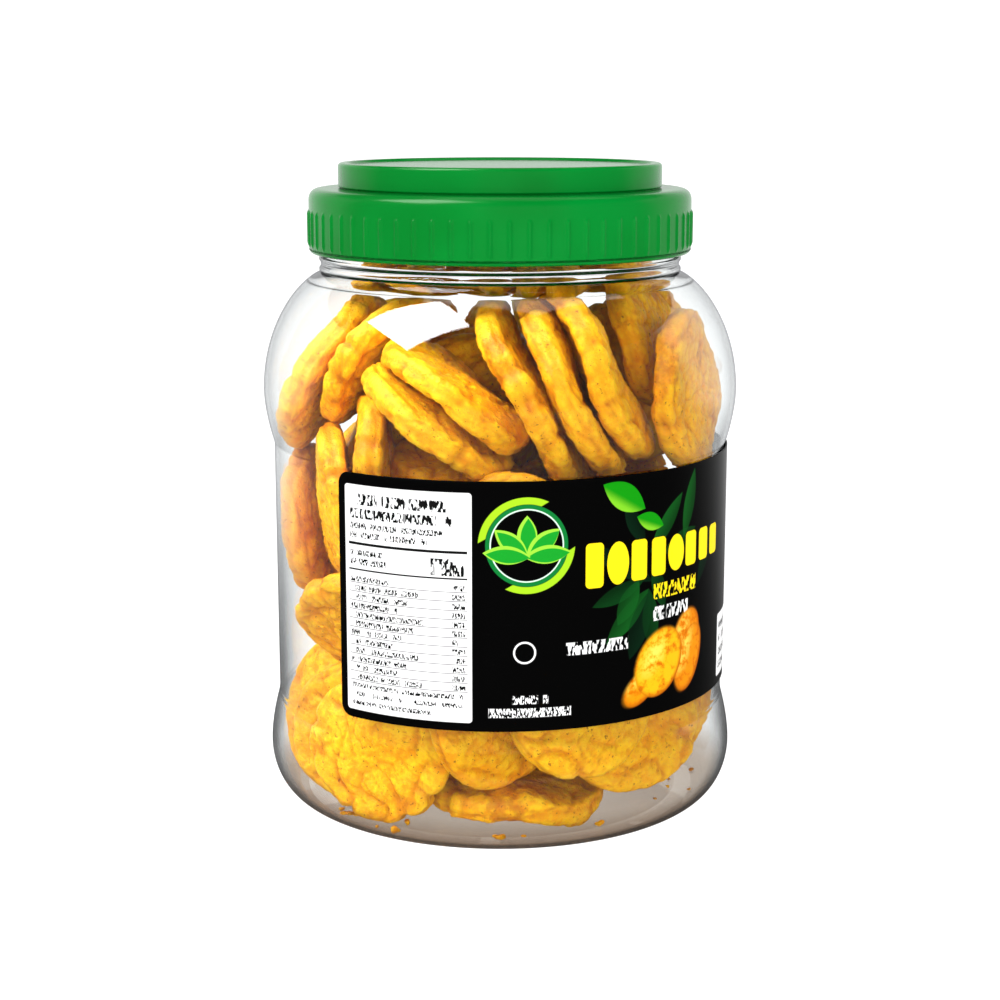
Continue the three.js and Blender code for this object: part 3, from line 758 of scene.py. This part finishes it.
def rounded(corners, radii):
    """A line through corners, each corner a parabola between two points at its radius from it,
    with one more point a little farther out on both sides to keep the flats flat."""
    before = np.roll(corners, 1, 0) - corners
    after = np.roll(corners, -1, 0) - corners
    before[0], after[-1] = after[0], before[-1]
    before = before / np.linalg.norm(before, axis=1, keepdims=True)
    after = after / np.linalg.norm(after, axis=1, keepdims=True)
    start, end = corners + before * radii[:, None], corners + after * radii[:, None]
    step = np.linspace(0, 1, corner_steps)[None, :, None]
    curve = ((1 - step) ** 2 * start[:, None] + 2 * step * (1 - step) * corners[:, None]
             + step**2 * end[:, None])
    guard = 0.25 * radii[:, None]
    line = np.concatenate([(start + before * guard)[:, None], curve,
                           (end + after * guard)[:, None]], 1)
    return np.concatenate([corners[:1], line[1:-1].reshape(-1, 2), corners[-1:]])


def lid_rings():
    """The cap's profile turned about Z, from the middle of its top round the skirt's lower edge
    to the middle of its underside. On the skirt's outside the radius also rises at each rib, as
    a narrow flat-topped ridge that fades out at the rib's two ends."""
    rim_inner = tier_radius - tier_rim
    under = neck_rim + lid_gap
    skirt_inner, tier_inner = skirt_radius - lid_wall, tier_radius - lid_wall
    sunk = lid_top - tier_recess
    # each corner's radius and height, and how far it is rounded
    corners = np.array([
        [0, sunk, 0],
        [rim_inner - tier_recess, sunk, 0.3 * mm],
        [rim_inner, lid_top, 0.35 * mm],
        [tier_radius, lid_top, tier_round],
        [tier_radius, skirt_high + 0.5 * mm, 0.2 * mm],
        [tier_radius - 0.7 * mm, skirt_high, 0.2 * mm],
        [skirt_radius, skirt_high, shoulder_round],
        [skirt_radius, skirt_low, foot_round],
        [skirt_inner, skirt_low, 0.3 * mm],
        [skirt_inner, under, 0.4 * mm],
        [tier_inner, under, 0.4 * mm],
        [tier_inner, sunk - lid_wall, 0.4 * mm],
        [0, sunk - lid_wall, 0]])
    profile = rounded(corners[:, :2], corners[:, 2])
    outer = np.nonzero((profile[:, 0] > skirt_radius - 1e-6) & (profile[:, 1] < skirt_high))[0]
    top, low = outer[0], outer[-1]
    wall_heights = np.concatenate([rib_high + np.linspace(1.2, -1.6, 8) * mm,
                                   rib_low + np.linspace(1.6, -1.0, 8) * mm])
    wall = np.stack([np.full_like(wall_heights, skirt_radius), wall_heights], 1)
    profile = np.concatenate([profile[:top + 1], wall, profile[low:]])
    ribs = np.arange(rib_count)[:, None]
    rings = turned(profile, ((ribs + rib_columns) * 2 * np.pi / rib_count).ravel())
    height = rings[..., 2]
    wave = np.tile(np.clip((rib_half - np.abs(rib_columns)) / rib_flank, 0, 1), rib_count)
    from_ends = np.minimum(height - rib_low, rib_high - height)
    fade = np.clip(from_ends / rib_fade, 0, 1)
    on_skirt = np.hypot(rings[..., 0], rings[..., 1]) > skirt_radius - 0.01 * mm
    swelling = 1 + on_skirt * wave * np.sqrt(fade) * rib_proud / skirt_radius
    rings[..., :2] *= swelling[..., None]
    return rings[::-1]


def green_plastic():
    """Moulded plastic with a soft gloss, a faint flow haze and the mould's gate mark."""
    material, wire = blank_material("green_plastic")
    place = wire.node("ShaderNodeTexCoord", out="Object")
    haze = wire.noise(place, 30.0, 2.0).between(0.3, 0.7)
    deep_green, light_green, gate_green = rgb(0, 114, 34), rgb(0, 126, 42), rgb(0, 118, 44)
    colour = wire.mix(deep_green, light_green, haze)
    parts = wire.node("ShaderNodeSeparateXYZ", None, {"Vector": place})
    from_axis = (parts ** 2.0 + parts.beside("Y") ** 2.0) ** 0.5
    on_top = parts.beside("Z").between(lid_top - 2 * mm, lid_top - 1.5 * mm)
    gate = from_axis.between(2.4 * mm, 1.9 * mm) * on_top
    colour = wire.mix(colour, gate_green, gate * 0.8)
    cap = wire.node("ShaderNodeBsdfPrincipled", None, {
        "Base Color": colour, "Roughness": 0.22, "Specular IOR Level": 0.1})
    wire.node("ShaderNodeOutputMaterial", None, {"Surface": cap})
    return material


lid = shown("screw_lid", *capped_rings(lid_rings()), green_plastic(), "green_plastic")
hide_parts("lid")

# ---- Studio ------------------------------------------------------------------
# A pale round sweep that glows like a light table, and four lamps: one high at the left in
# front, one beside it that shows only as a glint on the jar, a broad low one in front and one
# overhead. The camera looks down a little, from in front of the label.

sweep_flat, sweep_edge, sweep_height = 1.1, 2.3, 1.5
sweep_glow, front_loss = 1.06, 0.92


def sweep_rings():
    """A disc whose edge curves up as a quarter ellipse, turned about Z."""
    flat = np.linspace(0, sweep_flat, 8)
    turn = np.linspace(0, np.pi / 2, 16)[1:]
    edge = np.stack([sweep_flat + (sweep_edge - sweep_flat) * np.sin(turn),
                     sweep_height * (1 - np.cos(turn))], 1)
    profile = np.concatenate([np.stack([flat, 0 * flat], 1), edge])
    return turned(profile, even_turn(64))


def sweep_paper():
    """Paper that glows white. Its front half adds next to nothing to reflections, so that the
    black label stays black."""
    material, wire = blank_material("sweep_paper")
    reflected = wire.node("ShaderNodeLightPath", out="Glossy Depth").least(1.0)
    place = wire.node("ShaderNodeTexCoord", out="Object")
    along = wire.node("ShaderNodeSeparateXYZ", None, {"Vector": place}, out="Y")
    front = along.between(0.55, 0.0)
    strength = (1 - reflected * front * front_loss) * sweep_glow
    paper = wire.node("ShaderNodeBsdfDiffuse", None, {"Color": (0.2, 0.2, 0.2, 1)})
    glow = wire.node("ShaderNodeEmission", None, {"Strength": strength})
    both = wire.node("ShaderNodeAddShader", None, {0: paper, 1: glow})
    wire.node("ShaderNodeOutputMaterial", None, {"Surface": both})
    return material


sweep_grid = sweep_rings()
sweep_quads = grid_faces(*sweep_grid.shape[:2])
sweep = smooth_mesh("sweep", sweep_grid.reshape(-1, 3), sweep_quads, sweep_paper())


def softbox(name, place, aim, width, height, power, roll=0.0):
    """A rectangular lamp at a place, turned towards an aim and rolled about its own axis.
    Returns the lamp's object."""
    lamp = bpy.data.lights.new(name, "AREA")
    lamp.shape = "RECTANGLE"
    lamp.size, lamp.size_y = width, height
    lamp.energy = power
    holder = bpy.data.objects.new(name, lamp)
    bpy.context.scene.collection.objects.link(holder)
    holder.location = place
    facing = (Vector(aim) - Vector(place)).to_track_quat("-Z", "Y")
    holder.rotation_euler = (facing @ Quaternion((0, 0, 1), roll)).to_euler()
    return holder


# the key and the fill don't show in reflections or through the plastic
aim = (0, 0, 0.1)
key = softbox("key", (-0.46, -0.46, 0.92), aim, 0.7, 0.6, 5.3)
glint = softbox("glint", (-0.54, -0.315, 0.96), aim, 0.6, 0.6, 26, math.radians(68))
glint.visible_diffuse = False
fill = softbox("fill", (0.3, -1.35, 0.12), aim, 1.5, 1.1, 19)
for lamp in (key, fill):
    lamp.visible_glossy = False
    lamp.visible_transmission = False
softbox("over", (0.1, 0.2, 1.3), aim, 1.0, 1.0, 4.5)

world = bpy.data.worlds.new("room")
world.use_nodes = True
world.node_tree.nodes["Background"].inputs["Color"].default_value = (0.1, 0.1, 0.1, 1)
bpy.context.scene.world = world

lens = bpy.data.cameras.new("camera")
lens.lens = 72
camera = bpy.data.objects.new("camera", lens)
bpy.context.scene.collection.objects.link(camera)
pitch, distance, aim_height = math.radians(11.5), 0.6058, 0.088
camera.location = (0, -distance * math.cos(pitch), aim_height + distance * math.sin(pitch))
camera.rotation_euler = (math.pi / 2 - pitch, 0, 0)
bpy.context.scene.camera = camera
bpy.context.scene.view_settings.view_transform = "Standard"
